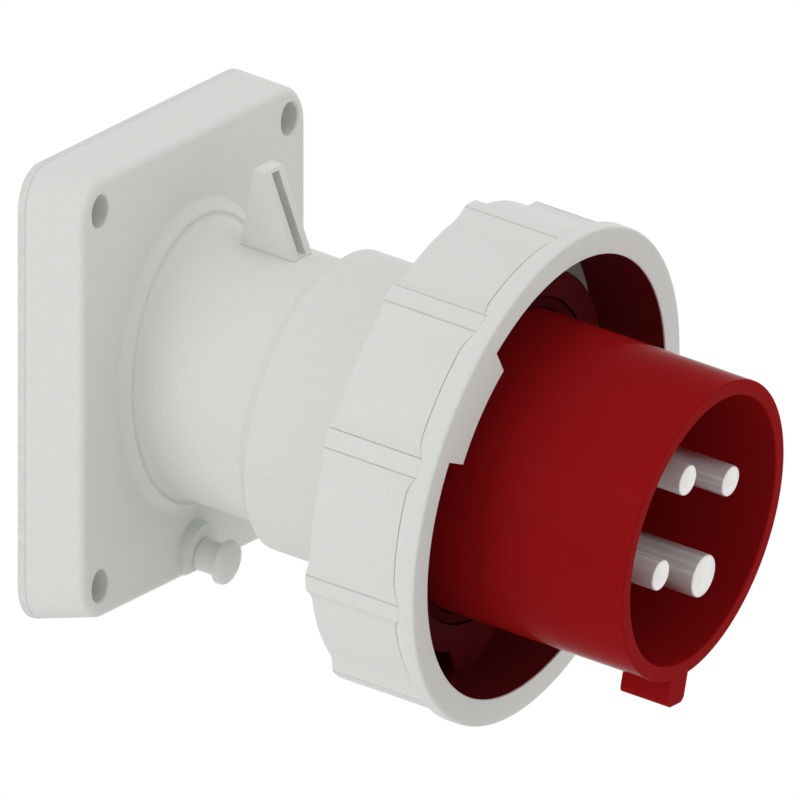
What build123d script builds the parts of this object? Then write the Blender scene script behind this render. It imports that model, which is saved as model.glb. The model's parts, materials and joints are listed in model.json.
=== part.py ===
from build123d import *
from math import atan2, cos, degrees, radians, sin, tan
import os

# Angled appliance inlet, three phases and earth, in millimetres.
# The origin is the centre of the mounting face, +Z is up, and the spout leaves towards -Y.
# Distances along the spout start where its axis crosses the flange's front face.

# Flange and its gasket
flange_side = 72.8
flange_thickness = 9.7
flange_draft_angle = 7.4
flange_corner = 6.0
flange_edge = 1.0
gasket_thickness = 1.5
gasket_margin = 2.1
screw_inset = 6.4
screw_hole_radius = 2.65

# Neck, collar and the journal that the ring turns on
spout_tilt_angle = 10.0
spout_drop = 0.4
neck_wall = 3.0
neck_length = 20.6
bead_radius = 1.0
bead_offset = 0.8
collar_step = 2.7
collar_length = 19.9
ring_shoulder = 1.5
journal_wall = 2.3

# Slotted catch on top of the neck
catch_width = 5.6
catch_back = 6.1
catch_height = 12.4
catch_land = 2.05
catch_foot = 9.4
catch_slot = 2.2
catch_back_web = 1.5
catch_top_web = 0.5

# Boss and peg for a cap strap
peg_inset = 5.4
peg_boss_radius = 5.0
peg_boss_height = 1.5
peg_boss_flat = 2.6
peg_shaft_radius = 2.6
peg_shaft_length = 3.1
peg_head_radius = 3.4
peg_head_height = 2.3
peg_spigot_radius = 1.8
peg_spigot_length = 6.0

# Bayonet ring
ring_length = 19.6
ring_wall = 1.3
ring_rim_length = 2.4
ring_rim_slope = 2.2
ring_lip = 0.3
ring_web = 3.0
ring_back_round = 0.6
bayonet_gap = 11.85
rib_count = 10
rib_phase_angle = 93.0
rib_height = 1.95
rib_top_width = 3.0
rib_foot_width = 10.6
rib_hollow = 0.35
lug_height = 4.95
lug_angle = 147.0
lug_span_angle = 29.8
lug_thickness = 4.2
lug_ramp = 1.2
liner_wall = 1.1
liner_undercut = 0.1
liner_lift = 3.2

# Bayonet travel and its stops
ring_travel_angle = 45.0
ring_back_travel_angle = 20.0
stop_angle = 270.0
nib_steep_foot_angle = 11.5
nib_steep_top_angle = 5.5
nib_gentle_top_angle = 3.0
nib_gentle_foot_angle = 15.5
nib_height = 3.7
stop_block_span_angle = 6.0
stop_gap_angle = 0.5
stop_block_clearance = 0.6

# Contact carrier
floor_rise = 6.1
hub_rise = 2.1
hub_wall = 4.4
floor_thickness = 3.0
spigot_wall = 3.0
spigot_length = 8.6
shroud_radius = 24.2
shroud_wall = 2.2
shroud_length = 38.85
shroud_rim_edge = 0.4
key_width = 5.2
key_height = 5.1
key_length = 8.5
key_edge = 1.2

# Seals
face_seal_width = 2.4
face_seal_depth = 3.0
face_seal_recess = 0.2
o_ring_section = 0.9
o_ring_setback = 4.3
mat_thickness = 1.2

# Pins and their terminals
pin_circle_radius = 10.85
phase_pin_radius = 2.5
earth_pin_radius = 3.5
pin_angles = {"l1": 210.0, "l2": 120.0, "l3": 30.0, "earth": 300.0}
pin_setback = 1.1
pin_shank_step = 0.3
pin_tip_edge = 1.0
pin_shoulder_radius = 5.0
pin_shoulder_length = 2.2
barrel_radius = 4.0
barrel_length = 10.0
wire_hole_radius = 1.7
wire_hole_depth = 8.5
clamp_screw_radius = 1.75
clamp_screw_length = 3.2
driver_slot_width = 0.8
driver_slot_depth = 0.8

# Terminal block
block_length = 12.0
block_wall = 1.85
block_screw_angle = 165.0

# Screws inside
carrier_screw_angle = 75.0
post_radius = 3.4
post_margin = 0.6
post_length = 11.0
screw_shank_radius = 1.4
screw_head_radius = 2.7
screw_head_height = 2.0
screw_bite = 9.0
block_post_radius = 2.8
block_post_margin = 0.8
block_post_length = 5.0

# Clearances
slide_gap = 0.2
seat_gap = 0.1
fit_gap = 0.3
cut_margin = 1.0

# Places that follow from the sizes above
flange_face = gasket_thickness + flange_thickness
screw_pitch = flange_side - 2 * screw_inset
peg_drop = flange_side / 2 - peg_inset

# Radii about the spout, from the pins outwards
pin_radii = {
    name: earth_pin_radius if name == "earth" else phase_pin_radius for name in pin_angles
}
block_radius = pin_circle_radius + barrel_radius + block_wall
spigot_inner = block_radius + fit_gap
spigot_radius = spigot_inner + spigot_wall
cavity_radius = spigot_radius + fit_gap
journal_radius = cavity_radius + journal_wall
collar_radius = journal_radius + ring_shoulder
neck_radius = collar_radius - collar_step
neck_bore = neck_radius - neck_wall
gasket_opening = neck_bore + gasket_margin
catch_top = neck_radius + catch_height
carrier_screw_circle = spigot_radius - post_radius - post_margin
block_screw_circle = spigot_inner - block_post_radius - block_post_margin
shroud_inner = shroud_radius - shroud_wall
seal_groove_radius = shroud_radius + face_seal_width
hub_radius = seal_groove_radius + hub_wall
ring_mouth_radius = shroud_radius + bayonet_gap
lug_radius = ring_mouth_radius - lug_height
liner_inner = ring_mouth_radius + liner_undercut
liner_seat = liner_inner + liner_wall
ring_panel_radius = liner_seat + ring_wall
ring_rim_radius = ring_panel_radius + rib_height
nib_radius = hub_radius + nib_height

# Distances along the spout
collar_start = neck_length + collar_step
collar_end = collar_start + collar_length
ring_back = collar_end + slide_gap
ring_web_front = ring_back + ring_web
ring_front = ring_back + ring_length
lip_back = ring_front - ring_lip
housing_front = ring_web_front + slide_gap
floor_front = ring_web_front + floor_rise
hub_front = floor_front + hub_rise
liner_back = ring_web_front + liner_lift
floor_back = floor_front - floor_thickness
seal_groove_floor = hub_front - face_seal_depth
shroud_rim = floor_front + shroud_length
pin_front = shroud_rim - pin_setback
spigot_back = housing_front - spigot_length
o_ring_place = housing_front - o_ring_setback
post_front = spigot_back - fit_gap
mat_back = floor_back - mat_thickness
shoulder_back = mat_back - pin_shoulder_length
block_back = mat_back - block_length
barrel_back = block_back - barrel_length

spout = Plane(
    origin=(0, -flange_face, -spout_drop),
    x_dir=(1, 0, 0),
    z_dir=(0, -cos(radians(spout_tilt_angle)), -sin(radians(spout_tilt_angle))),
)


def across(distance):
    """Plane square to the spout, at a distance along it."""
    return spout.offset(distance)


def beside(radius, angle, distance=0.0):
    """Frame parallel to the spout at a polar place, with X pointing outwards."""
    return Plane(spout.location * Rot(0, 0, angle) * Pos(radius, 0, distance))


def axis_of(frame):
    return Axis(frame.origin, frame.z_dir)


def turned(frame, *corners):
    """Half-section about the frame's Z axis, from (radius, distance) corners."""
    with BuildSketch(Plane(frame.origin, frame.x_dir, -frame.y_dir)) as half:
        with BuildLine():
            Polyline(*corners, close=True)
        make_face()
    return half.sketch


def tube(inner, outer, start, end):
    """Half-section of a plain tube about the spout."""
    return turned(spout, (inner, start), (outer, start), (outer, end), (inner, end))


def sector(plane, inner, outer, middle, span):
    """Part of an annulus about the plane's centre."""
    start, end = middle - span / 2, middle + span / 2
    with BuildSketch(plane) as piece:
        with BuildLine():
            inside = CenterArc((0, 0), inner, start, span)
            outside = CenterArc((0, 0), outer, start, span)
            Line(inside @ 0, outside @ 0)
            Line(inside @ 1, outside @ 1)
        make_face()
    return piece.sketch


def disc_at(frame, radius):
    with BuildSketch(frame) as disc:
        Circle(radius)
    return disc.sketch


# Housing: flange, tilted neck, collar and journal
neck_root = neck_radius * tan(radians(spout_tilt_angle)) + cut_margin
bore_root = (flange_face + neck_radius * sin(radians(spout_tilt_angle))) / cos(radians(spout_tilt_angle))

with BuildPart() as housing:
    with BuildSketch(Plane.XZ.offset(gasket_thickness)):
        RectangleRounded(flange_side, flange_side, flange_corner)
    extrude(amount=flange_thickness, taper=flange_draft_angle)
    fillet(housing.faces().sort_by(Axis.Y)[0].edges(), flange_edge)

    # Neck, chamfered up to the collar, and the journal in front of it
    outer_wall = turned(
        spout,
        (0, -neck_root),
        (neck_radius, -neck_root),
        (neck_radius, neck_length),
        (collar_radius, collar_start),
        (collar_radius, collar_end),
        (journal_radius, collar_end),
        (journal_radius, housing_front),
        (0, housing_front),
    )
    revolve(outer_wall, axis=axis_of(spout))

    # Half-round bead round the neck's root, in the flange's face
    with BuildSketch(Plane.YZ) as bead:
        with Locations((-flange_face, neck_radius + bead_offset - spout_drop)):
            Circle(bead_radius)
    revolve(bead.sketch, axis=Axis(spout.origin, (0, -1, 0)))

    # Slotted catch: a rib with a square back, a sloped front and a pocket in the slope
    catch_plane = Plane(spout.origin, spout.y_dir, spout.x_dir)
    catch_root = neck_radius - neck_wall / 2
    with BuildSketch(catch_plane) as catch:
        with BuildLine():
            Polyline(
                (catch_root, catch_back),
                (catch_top, catch_back),
                (catch_top, catch_back + catch_land),
                (neck_radius, catch_back + catch_foot),
                (catch_root, catch_back + catch_foot),
                close=True,
            )
        make_face()
    extrude(catch.sketch, amount=catch_width / 2, both=True)
    with BuildSketch(catch_plane) as pocket:
        with BuildLine():
            Polyline(
                (neck_radius + seat_gap, catch_back + catch_back_web),
                (catch_top - catch_top_web, catch_back + catch_back_web),
                (catch_top - catch_top_web, catch_back + catch_foot),
                (neck_radius + seat_gap, catch_back + catch_foot + cut_margin),
                close=True,
            )
        make_face()
    extrude(pocket.sketch, amount=catch_slot / 2, both=True, mode=Mode.SUBTRACT)

    # Boss for the strap peg, cut flat where the flange ends
    peg_foot = peg_drop * tan(radians(spout_tilt_angle))
    with BuildSketch(across(peg_foot - cut_margin)) as peg_boss:
        with Locations((0, -peg_drop)):
            Circle(peg_boss_radius)
        with Locations((0, -peg_drop - peg_boss_flat)):
            Rectangle(
                2 * peg_boss_radius,
                peg_boss_radius,
                align=(Align.CENTER, Align.MAX),
                mode=Mode.SUBTRACT,
            )
    extrude(peg_boss.sketch, amount=peg_boss_height + cut_margin)
    peg_face = peg_foot + peg_boss_height
    with BuildSketch(across(peg_face)) as peg_socket:
        with Locations((0, -peg_drop)):
            Circle(peg_spigot_radius + seat_gap)
    extrude(peg_socket.sketch, amount=-peg_spigot_length - seat_gap, mode=Mode.SUBTRACT)

    # Bore from the flange's back, widening to the cavity for the carrier
    cavity_start = collar_start + cut_margin
    hollow = turned(
        spout,
        (0, -bore_root),
        (neck_bore, -bore_root),
        (neck_bore, cavity_start - cavity_radius + neck_bore),
        (cavity_radius, cavity_start),
        (cavity_radius, housing_front),
        (0, housing_front),
    )
    revolve(hollow, axis=axis_of(spout), mode=Mode.SUBTRACT)

    # Two screw posts on the cavity's wall
    for side in (0, 180):
        post_frame = beside(carrier_screw_circle, carrier_screw_angle + side, post_front)
        with BuildSketch(post_frame) as post:
            Circle(post_radius)
            Rectangle(
                cavity_radius - carrier_screw_circle + fit_gap,
                2 * post_radius,
                align=(Align.MIN, Align.CENTER),
            )
        extrude(post.sketch, amount=-post_length)
        extrude(
            disc_at(post_frame, screw_shank_radius),
            amount=-screw_bite - seat_gap,
            mode=Mode.SUBTRACT,
        )

    # Fixing holes through the flange
    with Locations(Plane.XZ.offset(flange_face)):
        with GridLocations(screw_pitch, screw_pitch, 2, 2):
            Hole(screw_hole_radius, flange_thickness)

# Gasket behind the flange
with BuildPart() as flange_gasket:
    with BuildSketch(Plane.XZ):
        RectangleRounded(flange_side, flange_side, flange_corner)
        with GridLocations(screw_pitch, screw_pitch, 2, 2):
            Circle(screw_hole_radius, mode=Mode.SUBTRACT)
        with Locations((0, flange_face * tan(radians(spout_tilt_angle)) - spout_drop)):
            Circle(gasket_opening, mode=Mode.SUBTRACT)
    extrude(amount=gasket_thickness)

# Peg for a cap strap, pushed into its boss
with BuildPart() as strap_peg:
    peg_frame = beside(peg_drop, -90, peg_face)
    shaft = turned(
        peg_frame,
        (0, -peg_spigot_length),
        (peg_spigot_radius, -peg_spigot_length),
        (peg_spigot_radius, 0),
        (peg_shaft_radius, 0),
        (peg_shaft_radius, peg_shaft_length),
        (peg_head_radius, peg_shaft_length),
        (peg_head_radius, peg_shaft_length + peg_head_height / 2),
        (peg_shaft_radius, peg_shaft_length + peg_head_height),
        (0, peg_shaft_length + peg_head_height),
    )
    revolve(shaft, axis=axis_of(peg_frame))
    head_edges = strap_peg.edges().filter_by(GeomType.CIRCLE).sort_by(axis_of(peg_frame))[-3:]
    fillet(head_edges, peg_head_height / 5)

# Bayonet lug: a sector with a sloped back that draws the mating connector in
lug_back = ring_front - lug_thickness
with BuildPart() as lug:
    lug_plane = across(lug_back)
    extrude(sector(lug_plane, lug_radius, liner_seat, lug_angle, lug_span_angle), amount=lug_thickness)
    ramp_angle = degrees(atan2(lug_ramp, lug_radius * radians(lug_span_angle) / 2))
    ramp_place = Plane(beside(lug_radius, lug_angle, lug_back).location * Rot(-ramp_angle, 0, 0))
    with Locations(ramp_place):
        Box(
            3 * (liner_seat - lug_radius),
            2 * liner_seat,
            2 * lug_thickness,
            align=(Align.CENTER, Align.CENTER, Align.MAX),
            mode=Mode.SUBTRACT,
        )

# Bayonet ring: turned shell, grip ribs, inner lugs and travel stops
with BuildPart() as bayonet_ring:
    shell = turned(
        spout,
        (journal_radius + slide_gap, ring_back),
        (ring_panel_radius, ring_back),
        (ring_panel_radius, ring_front - ring_rim_length - ring_rim_slope),
        (ring_rim_radius, ring_front - ring_rim_length),
        (ring_rim_radius, ring_front),
        (ring_mouth_radius, ring_front),
        (ring_mouth_radius, lip_back),
        (liner_seat, lip_back),
        (liner_seat, liner_back),
        (liner_inner, liner_back),
        (liner_inner, ring_web_front),
        (journal_radius + slide_gap, ring_web_front),
    )
    revolve(shell, axis=axis_of(spout))

    # Ribs as proud as the rim, with hollow flanks
    rib_foot = ring_panel_radius - ring_wall / 4
    rib_middle = (rib_foot + ring_rim_radius) / 2 - rib_hollow
    rib_middle_width = (rib_top_width + rib_foot_width) / 2 - rib_hollow
    with BuildSketch(Plane.XY) as rib:
        with BuildLine():
            ThreePointArc(
                (rib_foot, -rib_foot_width / 2),
                (rib_middle, -rib_middle_width / 2),
                (ring_rim_radius, -rib_top_width / 2),
            )
            Polyline(
                (ring_rim_radius, -rib_top_width / 2),
                (ring_rim_radius + cut_margin, -rib_top_width / 2),
                (ring_rim_radius + cut_margin, rib_top_width / 2),
                (ring_rim_radius, rib_top_width / 2),
            )
            ThreePointArc(
                (ring_rim_radius, rib_top_width / 2),
                (rib_middle, rib_middle_width / 2),
                (rib_foot, rib_foot_width / 2),
            )
            Line((rib_foot, rib_foot_width / 2), (rib_foot, -rib_foot_width / 2))
        make_face()
    with BuildSketch(across(ring_back)) as ribs:
        with PolarLocations(0, rib_count, start_angle=rib_phase_angle):
            add(rib.sketch)
    extrude(ribs.sketch, amount=ring_length - ring_rim_length / 2)

    # The ribs' tops and the rounded back edge follow one turned envelope
    with BuildSketch(Plane(spout.origin, spout.x_dir, -spout.y_dir)) as envelope:
        with BuildLine():
            Polyline(
                (0, ring_front),
                (ring_rim_radius, ring_front),
                (ring_rim_radius, ring_back + ring_back_round),
            )
            RadiusArc(
                (ring_rim_radius, ring_back + ring_back_round),
                (ring_rim_radius - ring_back_round, ring_back),
                ring_back_round,
            )
            Polyline((ring_rim_radius - ring_back_round, ring_back), (0, ring_back), (0, ring_front))
        make_face()
    revolve(envelope.sketch, axis=axis_of(spout), mode=Mode.INTERSECT)

    for side in (0, 180):
        add(lug.part.rotate(axis_of(spout), side))

    # Blocks on the web that meet the carrier's nib at each end of the travel
    block_reach = stop_block_span_angle / 2 + stop_gap_angle
    for place in (
        stop_angle - nib_steep_foot_angle - block_reach - ring_back_travel_angle,
        stop_angle + nib_gentle_foot_angle + block_reach + ring_travel_angle - ring_back_travel_angle,
    ):
        block_face = sector(
            across(ring_web_front),
            hub_radius + stop_block_clearance,
            liner_inner,
            place,
            stop_block_span_angle,
        )
        extrude(block_face, amount=liner_back - ring_web_front - slide_gap)

# Red layer moulded into the ring, with windows for the lugs' roots
with BuildPart() as ring_liner:
    revolve(tube(liner_inner, liner_seat, liner_back, lip_back), axis=axis_of(spout))
    for side in (0, 180):
        window = sector(
            across(lug_back - seat_gap),
            liner_inner - cut_margin,
            liner_seat + cut_margin,
            lug_angle + side,
            lug_span_angle,
        )
        extrude(window, amount=lug_thickness, mode=Mode.SUBTRACT)

# Contact carrier: shroud, hub and rear spigot in one moulding
with BuildPart() as contact_carrier:
    body = turned(
        spout,
        (0, floor_back),
        (spigot_inner, floor_back),
        (spigot_inner, spigot_back),
        (spigot_radius, spigot_back),
        (spigot_radius, housing_front),
        (hub_radius, housing_front),
        (hub_radius, hub_front),
        (seal_groove_radius, hub_front),
        (seal_groove_radius, seal_groove_floor),
        (shroud_radius, seal_groove_floor),
        (shroud_radius, shroud_rim),
        (shroud_inner, shroud_rim),
        (shroud_inner, floor_front),
        (0, floor_front),
    )
    revolve(body, axis=axis_of(spout))
    rim_edges = contact_carrier.faces().sort_by(axis_of(spout))[-1].edges()
    fillet(rim_edges, shroud_rim_edge)

    # Key nose under the rim
    with BuildSketch(across(shroud_rim)) as nose:
        with Locations((0, -shroud_radius - key_height)):
            Rectangle(key_width, key_height + shroud_wall / 2, align=(Align.CENTER, Align.MIN))
        fillet(nose.vertices().group_by(Axis.Z)[0], key_edge)
    extrude(nose.sketch, amount=-key_length)

    # Stop nib on the hub, steep on one side
    nib_outline = [
        (hub_radius - cut_margin, -nib_steep_foot_angle),
        (hub_radius, -nib_steep_foot_angle),
        (nib_radius, -nib_steep_top_angle),
        (nib_radius, nib_gentle_top_angle),
        (hub_radius, nib_gentle_foot_angle),
        (hub_radius - cut_margin, nib_gentle_foot_angle),
    ]
    nib_corners = [
        (radius * cos(radians(stop_angle + turn)), radius * sin(radians(stop_angle + turn)))
        for radius, turn in nib_outline
    ]
    nib_back = ring_web_front + 2 * slide_gap
    with BuildSketch(across(nib_back)) as nib:
        with BuildLine():
            Polyline(*nib_corners, close=True)
        make_face()
    extrude(nib.sketch, amount=hub_front - nib_back)

    # Bosses for the carrier's screws and posts for the block's screws, behind the floor
    for side in (0, 180):
        boss_frame = beside(carrier_screw_circle, carrier_screw_angle + side, spigot_back)
        extrude(disc_at(boss_frame, post_radius), amount=floor_front - spigot_back)
        extrude(
            disc_at(boss_frame, screw_shank_radius + seat_gap),
            amount=floor_front - spigot_back,
            mode=Mode.SUBTRACT,
        )
        block_post = beside(block_screw_circle, block_screw_angle + side, floor_back)
        extrude(disc_at(block_post, block_post_radius), amount=-block_post_length)
        extrude(
            disc_at(block_post, screw_shank_radius),
            amount=-block_post_length,
            mode=Mode.SUBTRACT,
        )

    # Groove for the O-ring round the spigot
    groove = tube(
        cavity_radius - 2 * (o_ring_section + seat_gap),
        spigot_radius + cut_margin,
        o_ring_place - o_ring_section - seat_gap,
        o_ring_place + o_ring_section + seat_gap,
    )
    revolve(groove, axis=axis_of(spout), mode=Mode.SUBTRACT)

    # Holes in the floor for the pins
    for name, angle in pin_angles.items():
        hole_frame = beside(pin_circle_radius, angle, floor_back - cut_margin)
        extrude(
            disc_at(hole_frame, pin_radii[name] + pin_shank_step + seat_gap),
            amount=floor_thickness + 2 * cut_margin,
            mode=Mode.SUBTRACT,
        )

# Seals
with BuildPart() as face_seal:
    ring_face = tube(
        shroud_radius + seat_gap,
        seal_groove_radius - seat_gap,
        seal_groove_floor,
        hub_front - face_seal_recess,
    )
    revolve(ring_face, axis=axis_of(spout))

with BuildPart() as carrier_o_ring:
    with BuildSketch(Plane(spout.origin, spout.x_dir, -spout.y_dir)) as o_section:
        with Locations((cavity_radius - o_ring_section - seat_gap / 2, o_ring_place)):
            Circle(o_ring_section)
    revolve(o_section.sketch, axis=axis_of(spout))


def clear_of_posts(start, end):
    """Room for the carrier's bosses and posts in what lies behind its floor."""
    for side in (0, 180):
        boss_frame = beside(carrier_screw_circle, carrier_screw_angle + side, start)
        extrude(disc_at(boss_frame, post_radius + fit_gap), amount=end - start, mode=Mode.SUBTRACT)


with BuildPart() as pin_seal_mat:
    extrude(disc_at(across(mat_back), block_radius), amount=mat_thickness)
    clear_of_posts(mat_back, floor_back)
    for side in (0, 180):
        post_hole = beside(block_screw_circle, block_screw_angle + side, mat_back)
        extrude(
            disc_at(post_hole, block_post_radius + seat_gap),
            amount=mat_thickness,
            mode=Mode.SUBTRACT,
        )
    for name, angle in pin_angles.items():
        shank_hole = beside(pin_circle_radius, angle, mat_back)
        extrude(
            disc_at(shank_hole, pin_radii[name] + pin_shank_step + seat_gap),
            amount=mat_thickness,
            mode=Mode.SUBTRACT,
        )

# Terminal block that traps the pins' shoulders against the mat
with BuildPart() as terminal_block:
    extrude(disc_at(across(block_back), block_radius), amount=block_length)
    clear_of_posts(block_back, mat_back)
    for angle in pin_angles.values():
        bore = beside(pin_circle_radius, angle, block_back)
        extrude(disc_at(bore, barrel_radius + seat_gap), amount=block_length, mode=Mode.SUBTRACT)
        shoulder = beside(pin_circle_radius, angle, shoulder_back - seat_gap)
        extrude(
            disc_at(shoulder, pin_shoulder_radius + seat_gap),
            amount=pin_shoulder_length + seat_gap,
            mode=Mode.SUBTRACT,
        )
    for side in (0, 180):
        screw_hole = beside(block_screw_circle, block_screw_angle + side, block_back)
        extrude(
            disc_at(screw_hole, screw_shank_radius + seat_gap),
            amount=block_length,
            mode=Mode.SUBTRACT,
        )
        post_pocket = beside(block_screw_circle, block_screw_angle + side, mat_back)
        extrude(
            disc_at(post_pocket, block_post_radius + seat_gap),
            amount=-(block_post_length - mat_thickness + seat_gap),
            mode=Mode.SUBTRACT,
        )


def contact_pin(pin_radius, angle):
    """Pin with a shank in the floor, a shoulder, and a rear barrel for the wire and its screw."""
    frame = beside(pin_circle_radius, angle)
    with BuildPart() as pin:
        half = turned(
            frame,
            (0, barrel_back),
            (barrel_radius, barrel_back),
            (barrel_radius, shoulder_back),
            (pin_shoulder_radius, shoulder_back),
            (pin_shoulder_radius, mat_back),
            (pin_radius + pin_shank_step, mat_back),
            (pin_radius + pin_shank_step, floor_front),
            (pin_radius, floor_front),
            (pin_radius, pin_front),
            (0, pin_front),
        )
        revolve(half, axis=axis_of(frame))
        fillet(pin.faces().sort_by(axis_of(frame))[-1].edges(), pin_tip_edge)
        extrude(
            disc_at(beside(pin_circle_radius, angle, barrel_back), wire_hole_radius),
            amount=wire_hole_depth,
            mode=Mode.SUBTRACT,
        )
        extrude(
            disc_at(clamp_frame(angle), clamp_screw_radius + seat_gap / 2),
            amount=barrel_radius + cut_margin,
            mode=Mode.SUBTRACT,
        )
    return pin.part


def clamp_frame(angle):
    """Frame on a barrel's axis with Z pointing outwards along its clamp screw."""
    half_hole = barrel_back + wire_hole_depth / 2
    return Plane(beside(pin_circle_radius, angle, half_hole).location * Rot(0, 90, 0))


def clamp_screw(angle):
    """Slotted grub screw, backed off so that the wire hole is free."""
    frame = clamp_frame(angle)
    seat = wire_hole_radius
    with BuildPart() as screw:
        extrude(disc_at(frame.offset(seat), clamp_screw_radius), amount=clamp_screw_length)
        with Locations(frame.offset(seat + clamp_screw_length)):
            Box(
                driver_slot_width,
                3 * clamp_screw_radius,
                2 * driver_slot_depth,
                mode=Mode.SUBTRACT,
            )
    return screw.part


def inside_screw(frame, length):
    """Pan-head screw with its seat in the frame's plane and its shank towards -Z."""
    with BuildPart() as screw:
        half = turned(
            frame,
            (0, -length),
            (screw_shank_radius / 2, -length),
            (screw_shank_radius - seat_gap, -length + screw_shank_radius / 2),
            (screw_shank_radius - seat_gap, 0),
            (screw_head_radius, 0),
            (screw_head_radius, screw_head_height / 2),
            (screw_head_radius * 3 / 4, screw_head_height),
            (0, screw_head_height),
        )
        revolve(half, axis=axis_of(frame))
        with Locations(frame.offset(screw_head_height)):
            Box(2 * screw_head_radius, driver_slot_width, 2 * driver_slot_depth, mode=Mode.SUBTRACT)
            Box(driver_slot_width, 2 * screw_head_radius, 2 * driver_slot_depth, mode=Mode.SUBTRACT)
    return screw.part


pieces = {
    "housing": housing.part,
    "flange_gasket": flange_gasket.part,
    "strap_peg": strap_peg.part,
    "bayonet_ring": bayonet_ring.part,
    "ring_liner": ring_liner.part,
    "contact_carrier": contact_carrier.part,
    "face_seal": face_seal.part,
    "carrier_o_ring": carrier_o_ring.part,
    "pin_seal_mat": pin_seal_mat.part,
    "terminal_block": terminal_block.part,
}
for name, angle in pin_angles.items():
    pieces[f"pin_{name}"] = contact_pin(pin_radii[name], angle)
    pieces[f"terminal_screw_{name}"] = clamp_screw(angle)
carrier_screw_length = floor_front - post_front + screw_bite
block_screw_length = block_length + mat_thickness - seat_gap
for place, side in (("top", 0), ("bottom", 180)):
    head_seat = beside(carrier_screw_circle, carrier_screw_angle + side, floor_front)
    pieces[f"carrier_screw_{place}"] = inside_screw(head_seat, carrier_screw_length)
for place, side in (("left", 0), ("right", 180)):
    rear = beside(block_screw_circle, block_screw_angle + side, block_back)
    head_seat = Plane(rear.location * Rot(180, 0, 0))
    pieces[f"block_screw_{place}"] = inside_screw(head_seat, block_screw_length)

os.makedirs("parts", exist_ok=True)
for name, piece in pieces.items():
    piece.label = name
    export_step(piece, f"parts/{name}.step")
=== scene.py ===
"""Looks for the angled appliance inlet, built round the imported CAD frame."""

import json
import math

import bmesh
import bpy
from mathutils import Matrix, Vector


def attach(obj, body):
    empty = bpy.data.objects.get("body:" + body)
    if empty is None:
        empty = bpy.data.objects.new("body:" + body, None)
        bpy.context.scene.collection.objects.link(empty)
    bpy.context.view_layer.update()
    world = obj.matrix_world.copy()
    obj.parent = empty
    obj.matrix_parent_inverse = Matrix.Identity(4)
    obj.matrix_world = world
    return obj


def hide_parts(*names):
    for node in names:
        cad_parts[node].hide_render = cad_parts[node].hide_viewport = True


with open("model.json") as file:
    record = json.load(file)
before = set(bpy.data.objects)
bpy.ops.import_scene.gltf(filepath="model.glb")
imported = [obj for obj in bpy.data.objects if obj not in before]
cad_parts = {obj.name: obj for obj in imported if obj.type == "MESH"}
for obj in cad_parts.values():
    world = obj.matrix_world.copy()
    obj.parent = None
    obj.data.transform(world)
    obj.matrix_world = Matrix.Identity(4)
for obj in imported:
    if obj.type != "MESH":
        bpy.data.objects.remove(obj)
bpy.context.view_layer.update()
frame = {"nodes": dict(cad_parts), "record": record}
nodes = frame["nodes"]

# All sizes below are in millimetres. MM turns them into metres.
MM = 0.001

# Flange and gasket
FLANGE_SIDE = 72.8
FLANGE_THICKNESS = 9.7
FLANGE_DRAFT = math.radians(7.4)
FLANGE_CORNER = 6.4
FLANGE_FRONT_CORNER = 7.9
FLANGE_EDGE = 1.3
SEAM_INSET = 0.06
SEAM_HEIGHT = 0.3
GASKET_THICKNESS = 1.5
GASKET_OPENING = 20.5
GASKET_EDGE = 0.25
SCREW_PITCH = 60.0
SCREW_HOLE = 2.65
HOLE_LIP = 0.25

# Spout
TILT = math.radians(10.0)
SPOUT_DROP = 0.4
FLANGE_FACE = GASKET_THICKNESS + FLANGE_THICKNESS
NECK_RADIUS = 21.4
NECK_BORE = 18.4
NECK_LENGTH = 20.6
# Soft bead round the neck's root, as (distance off the neck, height off the flange)
BEAD_PATH = (
    (-0.5, 3.6),
    (-0.02, 2.7),
    (0.06, 1.9),
    (0.3, 1.35),
    (0.75, 1.2),
    (1.2, 1.45),
    (1.6, 1.3),
    (1.95, 0.8),
    (2.4, 0.3),
    (3.1, 0.03),
    (3.7, -0.2),
)
COLLAR_RADIUS = 24.4
COLLAR_START = 23.3
COLLAR_END = 43.2
COLLAR_EDGE = 0.5
JOURNAL_RADIUS = 22.6
CAVITY_RADIUS = 20.3
CAVITY_START = 24.3
HOUSING_FRONT = 46.6

# Catch on the neck
CATCH_WIDTH = 5.6
CATCH_BACK = 6.1
CATCH_TOP = 33.8
CATCH_LAND = 2.05
CATCH_FOOT = 9.4
CATCH_SLOT = 2.2
CATCH_BACK_WEB = 1.5
CATCH_TOP_WEB = 0.5
CATCH_ROOT = 19.9
CATCH_EDGE = 0.12
FOOT_LINE_WIDTH = 0.15
FOOT_LINE_FLOOR = 21.03
CATCH_SLOT_FLOOR = NECK_RADIUS + 0.1

# Peg and its boss
PEG_DROP = 31.0
PEG_BOSS = 5.0
PEG_BOSS_HEIGHT = 1.1
PEG_BOSS_FLAT = 2.6
PEG_BOSS_EDGE = 0.15
PEG_BOSS_STEPS = 64
PEG_SHAFT = 2.6
PEG_SHAFT_LENGTH = 3.8
PEG_HEAD = 3.6
PEG_HEAD_HEIGHT = 2.3
PEG_SPIGOT = 1.8
PEG_SPIGOT_LENGTH = 5.6
PEG_SEAT_GAP = 0.02
PEG_ROOT_EDGE = 0.12
PEG_NECK_ROUND = 0.2
PEG_HEAD_EDGE = 0.35
PEG_HEAD_TAPER = 0.1
PEG_HEAD_ROUND = 0.8
PEG_CROWN_ROUND = 1.5
PEG_FACE = PEG_DROP * math.tan(TILT) + PEG_BOSS_HEIGHT

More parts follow.
